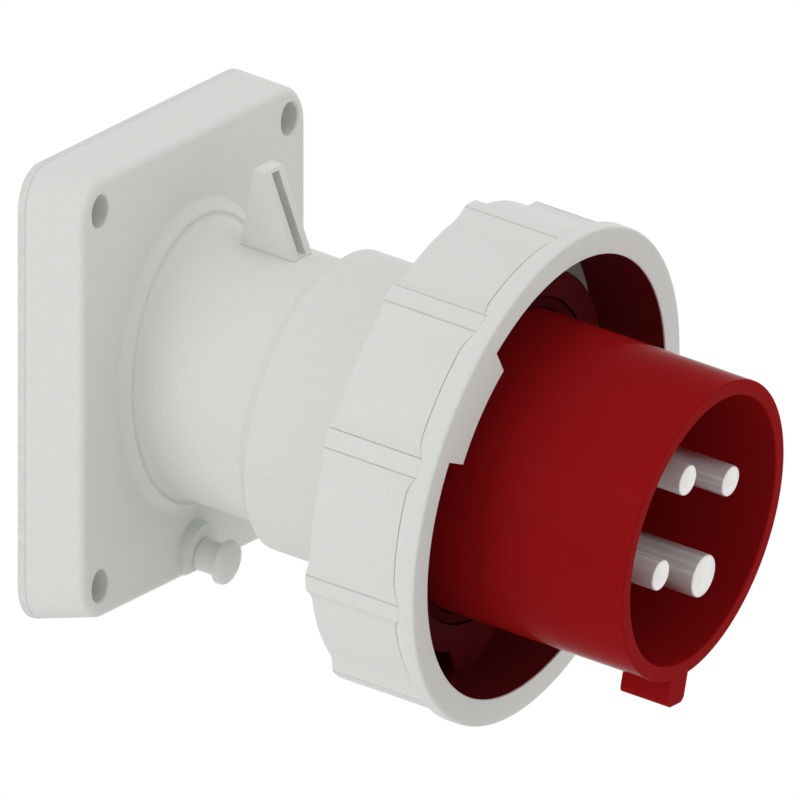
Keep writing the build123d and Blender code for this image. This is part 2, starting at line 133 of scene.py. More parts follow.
# Bayonet ring
RING_BACK = 43.4
RING_FRONT = 63.0
RING_PANEL = 38.55
RING_RIM = 40.5
RING_RIM_LENGTH = 2.4
RING_SLOPE = 2.2
RING_BACK_ROUND = 0.6
RING_MOUTH = 36.05
RING_LIP = 0.3
RING_WEB = 3.0
RING_BORE = 22.8
RING_EDGE = 0.4
RING_MOUTH_EDGE = 0.15
RING_BORE_EDGES = (0.2, 0.3)
RING_FLAT = 1.5
RING_CREASE = 40.0
RIB_COUNT = 10
RIB_PHASE = math.radians(93.0)
RIB_TOP = 3.0
RIB_PEAK = 40.1
RIB_FLANK = 3.8
LINE_WIDTH = 0.22
LINE_DEPTH = 0.22
LINE_WALL = 0.03
TOP_STEPS = 4
FLANK_STEPS = 8
PANEL_STEPS = 18
LUG_INNER = 31.1
LUG_MIDDLE = math.radians(147.0)
LUG_SPAN = math.radians(29.8)
LUG_THICKNESS = 4.2
LUG_EDGE = 0.22
LINER_INNER = 36.15
LINER_OUTER = 37.25
LINER_BACK = 49.6
LINER_EDGE = 0.1
LIP_BACK = RING_FRONT - RING_LIP

# Travel stops. The nib's corners are (radius, degrees from its middle)
HUB_RADIUS = 31.0
HUB_EDGE = 0.3
HUB_FRONT_EDGE = 0.25
NIB_RADIUS = 34.7
NIB_EDGE = 0.8
NIB_ANGLE = 270.0
NIB_BACK = RING_BACK + RING_WEB + 0.4
NIB_CORNERS = (
    (HUB_RADIUS - 1.0, -11.5),
    (HUB_RADIUS, -11.5),
    (NIB_RADIUS, -5.5),
    (NIB_RADIUS, 2.0),
    (NIB_RADIUS - 0.55, 6.6),
    (NIB_RADIUS - 1.9, 11.2),
    (HUB_RADIUS, 15.5),
    (HUB_RADIUS - 1.0, 15.5),
)
STOP_BLOCK_ANGLES = (235.0, 314.0)
STOP_BLOCK_SPAN = math.radians(6.0)
STOP_BLOCK_RADIUS = 31.6
STOP_BLOCK_FRONT = LINER_BACK - 0.2

# Contact carrier
FLOOR_FRONT = 52.5
FLOOR_BACK = 49.5
HUB_FRONT = 54.6
SPIGOT_RADIUS = 20.0
SPIGOT_INNER = 17.0
SPIGOT_BACK = 38.0
SPIGOT_EDGE = 0.3
WELL_ROUND = 0.6
GROOVE_RADIUS = 18.3
GROOVE_BACK = 41.3
GROOVE_FRONT = 43.3
SHROUD_RADIUS = 24.5
SHROUD_INNER = 22.0
SHROUD_RIM = 91.1
SHROUD_EDGE = 0.3
SEAL_GROOVE = 26.6
SEAL_FLOOR = 51.6
SEAL_FACE = 54.4
SEAL_EDGE = 0.4
KEY_WIDTH = 5.2
KEY_HEIGHT = 4.55
KEY_LENGTH = 8.5
KEY_EDGE = 1.2

# Pins
PIN_CIRCLE = 10.85
PINS = {"l1": (210.0, 2.5), "l2": (120.0, 2.5), "l3": (30.0, 2.5), "earth": (300.0, 3.5)}
PIN_FRONT = 90.25
PIN_SHANK_STEP = 0.3
PIN_EDGE = 0.4
PIN_DOME = 0.45
PIN_SHANK_RECESS = 0.05
PIN_SHANK_EDGE = 0.1
SHOULDER_RADIUS = 5.0
SHOULDER_BACK = 46.1
SHOULDER_FRONT = 48.3
BARREL_RADIUS = 4.0
BARREL_BACK = 26.3
BARREL_EDGE = 0.3
WIRE_HOLE = 1.7
WIRE_DEPTH = 8.5
WIRE_HOLE_EDGE = 0.2
CLAMP_HOLE = 1.8

# Screws that hold the carrier
POST_CIRCLE = 16.0
POST_ANGLE = math.radians(75.0)
POST_RADIUS = 3.4
POST_LENGTH = 11.0
POST_FRONT = 37.7
POST_BORE_DEPTH = 9.1
SCREW_RADIUS = 1.4
BLOCK_SCREW_CIRCLE = 13.4
BLOCK_SCREW_ANGLE = math.radians(165.0)
BLOCK_POST_RADIUS = 2.8
BLOCK_POST_LENGTH = 5.0

# Camera, from the photo: parallel projection, one scale, the origin's place in the picture
PICTURE_SIDE = 800
PIXELS_PER_MM = 6.483
CAMERA_AZIMUTH = math.radians(60.9)
CAMERA_ELEVATION = math.radians(15.85)
ORIGIN_X_PIXEL = 131.83
ORIGIN_Y_PIXEL = 342.99
CAMERA_DISTANCE = 600.0

# Light. A lamp is (place, aim, side, watts), and the world is brighter towards its lean
WORLD_LEVEL = 0.92
WORLD_LEAN = (0.28, -0.1, -0.33)
LAMPS = {
    "side": ((-750, 275, 185), (0, -20, 0), 600, 2.2),
    "top": ((0, -50, 930), (0, -50, 0), 600, 1.6),
}
FLOOR_HEIGHT = -260.0
FLOOR_HALF = 3000.0

# Mesh resolution
TURN_STEPS = 192
ARC_STEP = math.radians(11.0)
BEAD_STEPS = 4

# Cutters reach CUT past what they cut, and joined shapes sink into their neighbours
CUT = 1.0
POST_SUNK = 0.3
RING_SUNK = 0.4
STOP_SUNK = 0.5
CARRIER_SUNK = 0.5
KEY_SUNK = 1.1
FIT = 0.1
MARGIN = 0.05

# Grain of the surfaces, in metres
GRAIN_DEPTH = 0.00004
MOTTLE_DEPTH = 0.00005

SPOUT = Matrix(
    (
        (1, 0, 0, 0),
        (0, -math.sin(TILT), -math.cos(TILT), -FLANGE_FACE),
        (0, math.cos(TILT), -math.sin(TILT), -SPOUT_DROP),
        (0, 0, 0, 1),
    )
)
FLANGE = Matrix(((1, 0, 0, 0), (0, 0, -1, 0), (0, 1, 0, 0), (0, 0, 0, 1)))


def beside(radius, angle, distance=0.0):
    """Frame parallel to the spout at a polar place, with X pointing outwards."""
    return SPOUT @ Matrix.Rotation(angle, 4, "Z") @ Matrix.Translation((radius, 0, distance))


def rounded(corners, closed=True):
    """Path through (a, b) corners. A third value rounds its corner with that radius."""
    path = []
    count = len(corners)
    for i, corner in enumerate(corners):
        point = Vector(corner[:2])
        radius = corner[2] if len(corner) > 2 else 0.0
        if not radius or (not closed and i in (0, count - 1)):
            path.append(point)
            continue
        back = (Vector(corners[i - 1][:2]) - point).normalized()
        ahead = (Vector(corners[(i + 1) % count][:2]) - point).normalized()
        half = back.angle(ahead) / 2
        centre = point + (back + ahead).normalized() * radius / math.sin(half)
        start = point + back * radius / math.tan(half) - centre
        turn = math.pi - 2 * half
        sign = 1 if back.x * ahead.y - back.y * ahead.x < 0 else -1
        steps = max(2, math.ceil(turn / ARC_STEP))
        for k in range(steps + 1):
            angle = sign * turn * k / steps
            spun = Vector(
                (
                    start.x * math.cos(angle) - start.y * math.sin(angle),
                    start.x * math.sin(angle) + start.y * math.cos(angle),
                )
            )
            path.append(centre + spun)
    return path


def as_object(name, bm, place=Matrix.Identity(4)):
    """Object in millimetres from a bmesh, moved to its place."""
    bmesh.ops.remove_doubles(bm, verts=bm.verts, dist=1e-5)
    bmesh.ops.recalc_face_normals(bm, faces=bm.faces)
    bm.transform(place)
    mesh = bpy.data.meshes.new(name)
    bm.to_mesh(mesh)
    bm.free()
    obj = bpy.data.objects.new(name, mesh)
    bpy.context.scene.collection.objects.link(obj)
    return obj


def lathe(name, corners, place=SPOUT, steps=TURN_STEPS):
    """Solid turned about the place's Z axis, from (radius, distance) corners."""
    path = rounded(corners)
    bm = bmesh.new()
    rings = []
    for k in range(steps):
        angle = 2 * math.pi * k / steps
        c, s = math.cos(angle), math.sin(angle)
        rings.append([bm.verts.new((p.x * c, p.x * s, p.y)) for p in path])
    count = len(path)
    around = bm.loops.layers.uv.new("around")
    for k in range(steps):
        here, there = rings[k], rings[(k + 1) % steps]
        for i in range(count):
            j = (i + 1) % count
            if path[i].x < 1e-6 and path[j].x < 1e-6:
                continue
            face = bm.faces.new((here[i], here[j], there[j], there[i]))
            steps_round, steps_along = (k, k, k + 1, k + 1), (i, i + 1, i + 1, i)
            for loop, u, v in zip(face.loops, steps_round, steps_along):
                loop[around].uv = (u / steps, v / count)
    return as_object(name, bm, place)


def prism(name, outline, start, end, place=SPOUT, bevel=0.0, sharp_below=None):
    """Solid with an (x, y) outline, drawn from start to end along the place's Z axis."""
    bm = bmesh.new()
    low = [bm.verts.new((x, y, start)) for x, y in outline]
    high = [bm.verts.new((x, y, end)) for x, y in outline]
    bm.faces.new(low)
    bm.faces.new(high)
    for i in range(len(outline)):
        j = (i + 1) % len(outline)
        bm.faces.new((low[i], low[j], high[j], high[i]))
    if bevel:
        edges = [e for e in bm.edges if e.calc_face_angle(0) > math.radians(20)]
        if sharp_below is not None:
            edges = [e for e in edges if min(v.co.z for v in e.verts) > sharp_below]
        bmesh.ops.bevel(bm, geom=edges, offset=bevel, segments=3, affect="EDGES", profile=0.5)
    return as_object(name, bm, place)


def sector_outline(inner, outer, middle, span):
    """Outline of part of an annulus."""
    steps = max(4, math.ceil(span / math.radians(1.5)))
    angles = [middle - span / 2 + span * k / steps for k in range(steps + 1)]
    outside = [(outer * math.cos(a), outer * math.sin(a)) for a in angles]
    inside = [(inner * math.cos(a), inner * math.sin(a)) for a in reversed(angles)]
    return outside + inside


def rod(name, radius, start, end, place=SPOUT, steps=48):
    return lathe(name, [(0, start), (radius, start), (radius, end), (0, end)], place, steps)


def combine(target, operation, *tools):
    """Union with or difference from each tool in turn, applied to the target's mesh."""
    for tool in tools:
        step = target.modifiers.new("combine", "BOOLEAN")
        step.operation = operation
        step.object = tool
        step.solver = "MANIFOLD"
    graph = bpy.context.evaluated_depsgraph_get()
    mesh = bpy.data.meshes.new_from_object(target.evaluated_get(graph))
    target.modifiers.clear()
    target.data = mesh
    for tool in tools:
        bpy.data.objects.remove(tool)
    return target


def finished(obj, material, body, replaced, crease=32.0):
    """Scale to metres, smooth the shading, and hang the piece on its body."""
    mesh = obj.data
    mesh.transform(Matrix.Scale(MM, 4))
    mesh.name = obj.name
    mesh.materials.clear()
    mesh.materials.append(material)
    mesh.shade_smooth()
    mesh.set_sharp_from_angle(angle=math.radians(crease))
    weighted = obj.modifiers.new("normals", "WEIGHTED_NORMAL")
    weighted.keep_sharp = True
    graph = bpy.context.evaluated_depsgraph_get()
    obj.data = bpy.data.meshes.new_from_object(obj.evaluated_get(graph))
    obj.modifiers.clear()
    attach(obj, body)
    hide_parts(replaced)
    return obj


# Materials


def new_material(name):
    material = bpy.data.materials.new(name)
    material.use_nodes = True
    shader = material.node_tree.nodes["Principled BSDF"]
    return material, material.node_tree, shader


def object_noise(tree, scale, detail, roughness=0.6):
    """Noise fixed to the object, in metres."""
    place = tree.nodes.new("ShaderNodeTexCoord")
    noise = tree.nodes.new("ShaderNodeTexNoise")
    noise.inputs["Scale"].default_value = scale
    noise.inputs["Detail"].default_value = detail
    noise.inputs["Roughness"].default_value = roughness
    tree.links.new(place.outputs["Object"], noise.inputs["Vector"])
    return noise


def ramp(tree, source, low, high, start=0.35, end=0.65):
    """Two colours or greys mixed by a noise."""
    node = tree.nodes.new("ShaderNodeValToRGB")
    node.color_ramp.elements[0].position = start
    node.color_ramp.elements[0].color = (*low, 1)
    node.color_ramp.elements[1].position = end
    node.color_ramp.elements[1].color = (*high, 1)
    tree.links.new(source.outputs["Fac"], node.inputs["Fac"])
    return node


def bump(tree, shader, source, strength, distance):
    node = tree.nodes.new("ShaderNodeBump")
    node.inputs["Strength"].default_value = strength
    node.inputs["Distance"].default_value = distance
    tree.links.new(source.outputs["Fac"], node.inputs["Height"])
    tree.links.new(node.outputs["Normal"], shader.inputs["Normal"])


def moulded_plastic(name, dark, light, roughness, grain_bump, specular=0.25):
    """Moulded plastic with a fine eroded grain and slight tone drift."""
    material, tree, shader = new_material(name)
    grain = object_noise(tree, 4200.0, 3.0)
    tone = ramp(tree, grain, dark, light)
    tree.links.new(tone.outputs["Color"], shader.inputs["Base Color"])
    shader.inputs["Roughness"].default_value = roughness
    shader.inputs["Specular IOR Level"].default_value = specular
    bump(tree, shader, grain, grain_bump, GRAIN_DEPTH)
    return material


def gloss_plastic(name, dark, light, roughness, specular):
    """Smooth plastic with faint flow marks."""
    material, tree, shader = new_material(name)
    flow = object_noise(tree, 90.0, 2.0)
    tone = ramp(tree, flow, dark, light, 0.2, 0.8)
    tree.links.new(tone.outputs["Color"], shader.inputs["Base Color"])
    rough = ramp(tree, flow, (roughness * 0.9,) * 3, (roughness * 1.1,) * 3, 0.2, 0.8)
    tree.links.new(rough.outputs["Color"], shader.inputs["Roughness"])
    shader.inputs["Specular IOR Level"].default_value = specular
    return material


def rubber(name, dark, light, specular=0.2):
    """Matt rubber with a dusty mottle."""
    material, tree, shader = new_material(name)
    mottle = object_noise(tree, 900.0, 5.0)
    tone = ramp(tree, mottle, dark, light)
    tree.links.new(tone.outputs["Color"], shader.inputs["Base Color"])
    shader.inputs["Roughness"].default_value = 0.75
    shader.inputs["Specular IOR Level"].default_value = specular
    bump(tree, shader, mottle, 0.25, MOTTLE_DEPTH)
    return material


def plated_metal(name, dark, light, roughness, turned=0.0):
    """Plated metal with a faint mottle. Turning marks round it stretch its reflections along it."""
    material, tree, shader = new_material(name)
    marks = object_noise(tree, 1400.0, 3.0)
    tone = ramp(tree, marks, dark, light, 0.25, 0.75)
    tree.links.new(tone.outputs["Color"], shader.inputs["Base Color"])
    rough = ramp(tree, marks, (roughness * 0.92,) * 3, (roughness * 1.08,) * 3, 0.25, 0.75)
    tree.links.new(rough.outputs["Color"], shader.inputs["Roughness"])
    shader.inputs["Metallic"].default_value = 1.0
    if turned:
        shader.inputs["Anisotropic"].default_value = turned
        shader.inputs["Anisotropic Rotation"].default_value = 0.25
        marks_run = tree.nodes.new("ShaderNodeTangent")
        marks_run.direction_type = "UV_MAP"
        marks_run.uv_map = "around"
        tree.links.new(marks_run.outputs["Tangent"], shader.inputs["Tangent"])
    return material


materials = {
    "grey_housing": moulded_plastic(
        "grey_housing", (0.66, 0.675, 0.65), (0.71, 0.725, 0.70), 0.6, 0.3
    ),
    "grey_gasket": rubber("grey_gasket", (0.62, 0.635, 0.61), (0.68, 0.695, 0.67)),
    "grey_ring": moulded_plastic(
        "grey_ring", (0.665, 0.68, 0.655), (0.715, 0.73, 0.705), 0.6, 0.25
    ),
    "red_liner": gloss_plastic(
        "red_liner", (0.15, 0.011, 0.014), (0.16, 0.012, 0.015), 0.4, 0.005
    ),
    "red_carrier": gloss_plastic(
        "red_carrier", (0.262, 0.0062, 0.0072), (0.278, 0.0068, 0.008), 0.12, 0.004
    ),
    "black_rubber": rubber("black_rubber", (0.010, 0.009, 0.009), (0.018, 0.017, 0.016)),
    "block_plastic": moulded_plastic(
        "block_plastic", (0.045, 0.048, 0.052), (0.065, 0.068, 0.072), 0.5, 0.3
    ),
    "plated_contact": plated_metal(
        "plated_contact", (0.83, 0.82, 0.80), (0.87, 0.86, 0.85), 0.42, 0.9
    ),
    "zinc_screw": plated_metal("zinc_screw", (0.50, 0.50, 0.48), (0.62, 0.62, 0.60), 0.3),
}
# Painted shade: the hub's front inside the ring is the same red moulding as the carrier, given a
# darker, rougher copy of its red to stand in for the deep shadow there.
hub_painted_shade = gloss_plastic("hub_painted_shade", (0.075, 0.005, 0.007), (0.085, 0.006, 0.008), 0.5, 0.005)
seal_rubber = rubber("seal_rubber", (0.050, 0.003, 0.004), (0.060, 0.004, 0.005), 0.01)
for part in frame["record"]["subparts"]:
    for slot in nodes[part["node"]].material_slots:
        slot.material = materials[part["material_slot"]]


# Housing


def square_outline(half, corner):
    """Rounded square, as a list of points."""
    corner = max(corner, 0.05)
    steps = 14
    outline = []
    for quarter, (sx, sy) in enumerate(((1, 1), (-1, 1), (-1, -1), (1, -1))):
        for k in range(steps + 1):
            angle = math.pi / 2 * (quarter + k / steps)
            outline.append(
                (
                    sx * (half - corner) + corner * math.cos(angle),
                    sy * (half - corner) + corner * math.sin(angle),
                )
            )
    return outline


def stacked_square(name, path, side, corner, growth=0.0):
    """Rounded square drawn through (inset, height) steps, closed at both ends.

    Its corners' radius grows with the height.
    """
    bm = bmesh.new()
    layers = []
    for inset, height in path:
        outline = square_outline(side / 2 - inset, corner + growth * height - inset)
        layers.append([bm.verts.new((x, y, height)) for x, y in outline])
    for low, high in zip(layers, layers[1:]):
        for i in range(len(low)):
            j = (i + 1) % len(low)
            bm.faces.new((low[i], low[j], high[j], high[i]))
    bm.faces.new(layers[0])
    bm.faces.new(layers[-1])
    return as_object(name, bm, FLANGE)


def screw_hole(index, back, front):
    """Cutter for a fixing hole, flared by a small lip at both faces."""
    x = SCREW_PITCH / 2 * (1 if index % 2 else -1)
    y = SCREW_PITCH / 2 * (1 if index // 2 else -1)
    place = FLANGE @ Matrix.Translation((x, y, 0))
    flare = SCREW_HOLE + HOLE_LIP + CUT
    corners = [
        (0, back - CUT),
        (flare, back - CUT),
        (SCREW_HOLE, back + HOLE_LIP),
        (SCREW_HOLE, front - HOLE_LIP),
        (flare, front + CUT),
        (0, front + CUT),
    ]
    return lathe(f"screw_hole_{index}", corners, place, steps=64)


def smoothed(points, steps):
    """Even cubic B-spline near the points, which keeps its two ends."""
    padded = [points[0]] * 2 + list(points) + [points[-1]] * 2
    path = []
    for a, b, c, d in zip(padded, padded[1:], padded[2:], padded[3:]):
        for k in range(steps):
            u = k / steps
            weights = (
                (1 - u) ** 3 / 6,
                (3 * u**3 - 6 * u**2 + 4) / 6,
                (-3 * u**3 + 3 * u**2 + 3 * u + 1) / 6,
                u**3 / 6,
            )
            path.append([sum(w * p[i] for w, p in zip(weights, (a, b, c, d))) for i in (0, 1)])
    path.append(points[-1])
    return path


def neck_reach(angle, height):
    """Distance from the root's centre to the tilted neck, at a height off the flange's face."""
    slant = height * math.tan(TILT)
    squash = math.cos(TILT) ** 2
    square = math.cos(angle) ** 2 + squash * math.sin(angle) ** 2
    half_linear = squash * slant * math.sin(angle)
    rest = squash * slant**2 - NECK_RADIUS**2
    return (math.sqrt(half_linear**2 - square * rest) - half_linear) / square


def build_bead():
    """Ring that follows the tilted neck's root, soft towards the neck and the flange."""
    inside = BEAD_PATH[0][0] - CUT
    path = smoothed(BEAD_PATH, BEAD_STEPS)
    path += [(BEAD_PATH[-1][0], -CUT), (inside, -CUT), (inside, BEAD_PATH[0][1])]
    bm = bmesh.new()
    columns = []
    for k in range(TURN_STEPS):
        angle = 2 * math.pi * k / TURN_STEPS
        c, s = math.cos(angle), math.sin(angle)
        column = []
        for off, height in path:
            reach = neck_reach(angle, max(height, 0.0)) + off
            column.append(bm.verts.new((reach * c, reach * s, height)))
        columns.append(column)
    for here, there in zip(columns, columns[1:] + columns[:1]):
        for i in range(len(path)):
            j = (i + 1) % len(path)
            bm.faces.new((here[i], here[j], there[j], there[i]))
    return as_object("bead", bm, Matrix.Translation((0, -FLANGE_FACE, -SPOUT_DROP)) @ FLANGE)


def catch_shapes():
    """The catch, the thin line round its foot and its slot.

    They are drawn in the spout's upright plane, so their X axis runs up and their Y axis forward.
    """
    upright = SPOUT @ Matrix(((0, 0, 1, 0), (1, 0, 0, 0), (0, 1, 0, 0), (0, 0, 0, 1)))
    front = CATCH_BACK + CATCH_FOOT
    catch = prism(
        "catch",
        [
            (CATCH_ROOT, CATCH_BACK),
            (CATCH_TOP, CATCH_BACK),
            (CATCH_TOP, CATCH_BACK + CATCH_LAND),
            (NECK_RADIUS, front),
            (CATCH_ROOT, front),
        ],
        -CATCH_WIDTH / 2,
        CATCH_WIDTH / 2,
        upright,
        CATCH_EDGE,
    )
    foot_line = prism(
        "foot_line",
        [
            (FOOT_LINE_FLOOR, CATCH_BACK - FOOT_LINE_WIDTH),
            (NECK_RADIUS + CUT, CATCH_BACK - FOOT_LINE_WIDTH),
            (NECK_RADIUS + CUT, front + FOOT_LINE_WIDTH),
            (FOOT_LINE_FLOOR, front + FOOT_LINE_WIDTH),
        ],
        -CATCH_WIDTH / 2 - FOOT_LINE_WIDTH,
        CATCH_WIDTH / 2 + FOOT_LINE_WIDTH,
        upright,
    )
    slot_back, slot_top = CATCH_BACK + CATCH_BACK_WEB, CATCH_TOP - CATCH_TOP_WEB
    slot = prism(
        "catch_slot",
        [
            (CATCH_SLOT_FLOOR, slot_back),
            (slot_top, slot_back),
            (slot_top, front),
            (CATCH_SLOT_FLOOR, front + CUT),
        ],
        -CATCH_SLOT / 2,
        CATCH_SLOT / 2,
        upright,
    )
    return catch, foot_line, slot


def peg_boss():
    """Round boss under the peg, cut straight near the flange's lower edge."""
    flat = -PEG_DROP - PEG_BOSS_FLAT
    reach = math.sqrt(PEG_BOSS**2 - PEG_BOSS_FLAT**2)
    angles = [2 * math.pi * k / PEG_BOSS_STEPS for k in range(PEG_BOSS_STEPS)]
    circle = [(PEG_BOSS * math.cos(a), PEG_BOSS * math.sin(a) - PEG_DROP) for a in angles]
    first_cut = next(i for i, (_, y) in enumerate(circle) if y <= flat)
    outline = [(x, y) for x, y in circle if y > flat]
    outline[first_cut:first_cut] = [(-reach, flat), (reach, flat)]
    root = PEG_FACE - PEG_BOSS_HEIGHT - CUT
    return prism("boss", outline, root, PEG_FACE, SPOUT, PEG_BOSS_EDGE, PEG_FACE - FIT)


def add_carrier_posts(housing):
    """Two bored posts inside the housing, for the carrier's screws."""
    back, wall_side = POST_FRONT - POST_LENGTH, CAVITY_RADIUS - POST_CIRCLE + POST_SUNK
    root_outline = [
        (0, -POST_RADIUS),
        (wall_side, -POST_RADIUS),
        (wall_side, POST_RADIUS),
        (0, POST_RADIUS),
    ]
    for turn in (0, math.pi):
        place = beside(POST_CIRCLE, POST_ANGLE + turn)
        post = rod("post", POST_RADIUS, back, POST_FRONT, place)
        root = prism("post_root", root_outline, back, POST_FRONT, place)
        bore_end = POST_FRONT - POST_BORE_DEPTH
        bore = rod("post_bore", SCREW_RADIUS, bore_end, POST_FRONT + CUT, place, steps=24)
        combine(housing, "UNION", post, root)
        combine(housing, "DIFFERENCE", bore)


def build_housing():
    inset = FLANGE_THICKNESS * math.tan(FLANGE_DRAFT)
    path = rounded(
        [
            (0, GASKET_THICKNESS),
            (SEAM_INSET, GASKET_THICKNESS + SEAM_HEIGHT),
            (inset, FLANGE_FACE, FLANGE_EDGE),
            (inset + 2 * FLANGE_EDGE, FLANGE_FACE),
        ],
        closed=False,
    )
    growth = (FLANGE_FRONT_CORNER - FLANGE_CORNER) / FLANGE_FACE
    housing = stacked_square("housing_moulding", path, FLANGE_SIDE, FLANGE_CORNER, growth)
    neck_root = NECK_RADIUS * math.tan(TILT) + CUT
    neck = lathe(
        "neck",
        [
            (0, -neck_root),
            (NECK_RADIUS, -neck_root),
            (NECK_RADIUS, NECK_LENGTH),
            (COLLAR_RADIUS, COLLAR_START),
            (COLLAR_RADIUS, COLLAR_END, COLLAR_EDGE),
            (JOURNAL_RADIUS, COLLAR_END),
            (JOURNAL_RADIUS, HOUSING_FRONT),
            (0, HOUSING_FRONT),
        ],
    )
    catch, foot_line, slot = catch_shapes()
    combine(housing, "UNION", neck, build_bead())
    combine(housing, "DIFFERENCE", foot_line)
    combine(housing, "UNION", catch, peg_boss())

    bore_root = (FLANGE_FACE + NECK_RADIUS * math.sin(TILT)) / math.cos(TILT)
    hollow = lathe(
        "hollow",
        [
            (0, -bore_root),
            (NECK_BORE, -bore_root),
            (NECK_BORE, CAVITY_START - CAVITY_RADIUS + NECK_BORE),
            (CAVITY_RADIUS, CAVITY_START),
            (CAVITY_RADIUS, HOUSING_FRONT + CUT),
            (0, HOUSING_FRONT + CUT),
        ],
    )
    socket = rod(
        "socket",
        PEG_SPIGOT + FIT,
        PEG_FACE - PEG_SPIGOT_LENGTH - FIT,
        PEG_FACE + CUT,
        SPOUT @ Matrix.Translation((0, -PEG_DROP, 0)),
    )
    holes = [screw_hole(i, GASKET_THICKNESS, FLANGE_FACE) for i in range(4)]
    combine(housing, "DIFFERENCE", hollow, slot, socket, *holes)
    add_carrier_posts(housing)
    return finished(housing, materials["grey_housing"], "inlet", "housing")


def build_gasket():
    path = rounded(
        [
            (GASKET_EDGE * 2, 0),
            (0, 0, GASKET_EDGE),
            (0, GASKET_THICKNESS, GASKET_EDGE),
            (GASKET_EDGE * 2, GASKET_THICKNESS),
        ],
        closed=False,
    )
    gasket = stacked_square("gasket_sheet", path, FLANGE_SIDE, FLANGE_CORNER)
    centre = FLANGE_FACE * math.tan(TILT) - SPOUT_DROP
    opening = rod(
        "opening",
        GASKET_OPENING,
        -CUT,
        GASKET_THICKNESS + CUT,
        FLANGE @ Matrix.Translation((0, centre, 0)),
        steps=128,
    )
    holes = [
        rod(
            "hole",
            SCREW_HOLE,
            -CUT,
            GASKET_THICKNESS + CUT,
            FLANGE @ Matrix.Translation((x * SCREW_PITCH / 2, y * SCREW_PITCH / 2, 0)),
        )
        for x in (-1, 1)
        for y in (-1, 1)
    ]
    combine(gasket, "DIFFERENCE", opening, *holes)
    return finished(gasket, materials["grey_gasket"], "inlet", "flange_gasket")


def build_peg():
    corners = [
        (0, -PEG_SPIGOT_LENGTH),
        (PEG_SPIGOT, -PEG_SPIGOT_LENGTH),
        (PEG_SPIGOT, PEG_SEAT_GAP),
        (PEG_SHAFT, PEG_SEAT_GAP, PEG_ROOT_EDGE),
        (PEG_SHAFT, PEG_SHAFT_LENGTH, PEG_NECK_ROUND),
        (PEG_HEAD, PEG_SHAFT_LENGTH, PEG_HEAD_EDGE),
        (PEG_HEAD - PEG_HEAD_TAPER, PEG_SHAFT_LENGTH + PEG_HEAD_HEIGHT * 0.6, PEG_HEAD_ROUND),
        (PEG_HEAD * 0.45, PEG_SHAFT_LENGTH + PEG_HEAD_HEIGHT * 0.97, PEG_CROWN_ROUND),
        (0, PEG_SHAFT_LENGTH + PEG_HEAD_HEIGHT),
    ]
    place = SPOUT @ Matrix.Translation((0, -PEG_DROP, PEG_FACE))
    peg = lathe("peg_stud", corners, place, steps=96)
    return finished(peg, materials["grey_housing"], "inlet", "strap_peg")


# Bayonet ring


def rib_angles():
    """Angles round the ring: close together at a rib's edge lines and flanks, wider elsewhere."""
    top = RIB_TOP / 2 / RING_RIM
    foot = top + RIB_FLANK / RING_RIM
    step = 2 * math.pi / RIB_COUNT
    wall, shelf = LINE_WALL / RING_RIM, top + LINE_WIDTH / RING_RIM
    half = [top * k / TOP_STEPS for k in range(TOP_STEPS + 1)]
    half += [top + wall, shelf - wall]
    half += [shelf + (foot - shelf) * k / FLANK_STEPS for k in range(FLANK_STEPS + 1)]
    half += [foot + (step / 2 - foot) * k / PANEL_STEPS for k in range(1, PANEL_STEPS)]
    angles = []
    for rib in range(RIB_COUNT):
        middle = RIB_PHASE + rib * step
        angles += [middle - a for a in reversed(half[1:])]
        angles += [middle + a for a in half]
        angles.append(middle + step / 2)
    return angles, top, shelf, foot, step


def ring_profile(offset, top, shelf, foot):
    """Outside of the ring, back to front, at an angle from the nearest rib's middle."""
    height = RING_RIM - RING_PANEL
    flank = min(1.0, max(0.0, (abs(offset) - top) / (foot - top)))
    rib = (RIB_PEAK - RING_PANEL) / height * (1 - flank) ** 2
    radius = RING_PANEL + height * rib
    in_line = top * 1.0001 < abs(offset) < shelf * 0.9999
    sunk = radius - (LINE_DEPTH if in_line else 0.0)
    slope_end = RING_FRONT - RING_RIM_LENGTH
    crease = slope_end - RING_SLOPE * (1 - rib)
    width, depth = LINE_WIDTH / 2 * (1 - rib), LINE_DEPTH * (1 - rib)
    wall = min(LINE_WALL, width / 2)

    profile = []
    round_steps, run_steps, slope_steps = 8, 6, 8
    for k in range(round_steps + 1):
        run = RING_BACK_ROUND * math.cos(math.pi / 2 * k / round_steps)
        drop = RING_BACK_ROUND - math.sqrt(max(0.0, RING_BACK_ROUND**2 - run**2))
        profile.append((min(sunk, RING_RIM - drop), RING_BACK + RING_BACK_ROUND - run))
    start = RING_BACK + RING_BACK_ROUND
    for k in range(1, run_steps + 1):
        profile.append((sunk, start + (crease - width - start) * k / run_steps))
    profile.append((min(sunk, radius - depth), crease - width + wall))
    foot_rise = height / RING_SLOPE * (width - wall)
    profile.append((min(sunk, radius - depth) + foot_rise, crease + width - wall))
    for k in range(slope_steps + 1):
        distance = crease + width + (slope_end - crease - width) * k / slope_steps
        profile.append((RING_RIM - height * (slope_end - distance) / RING_SLOPE, distance))
    return profile


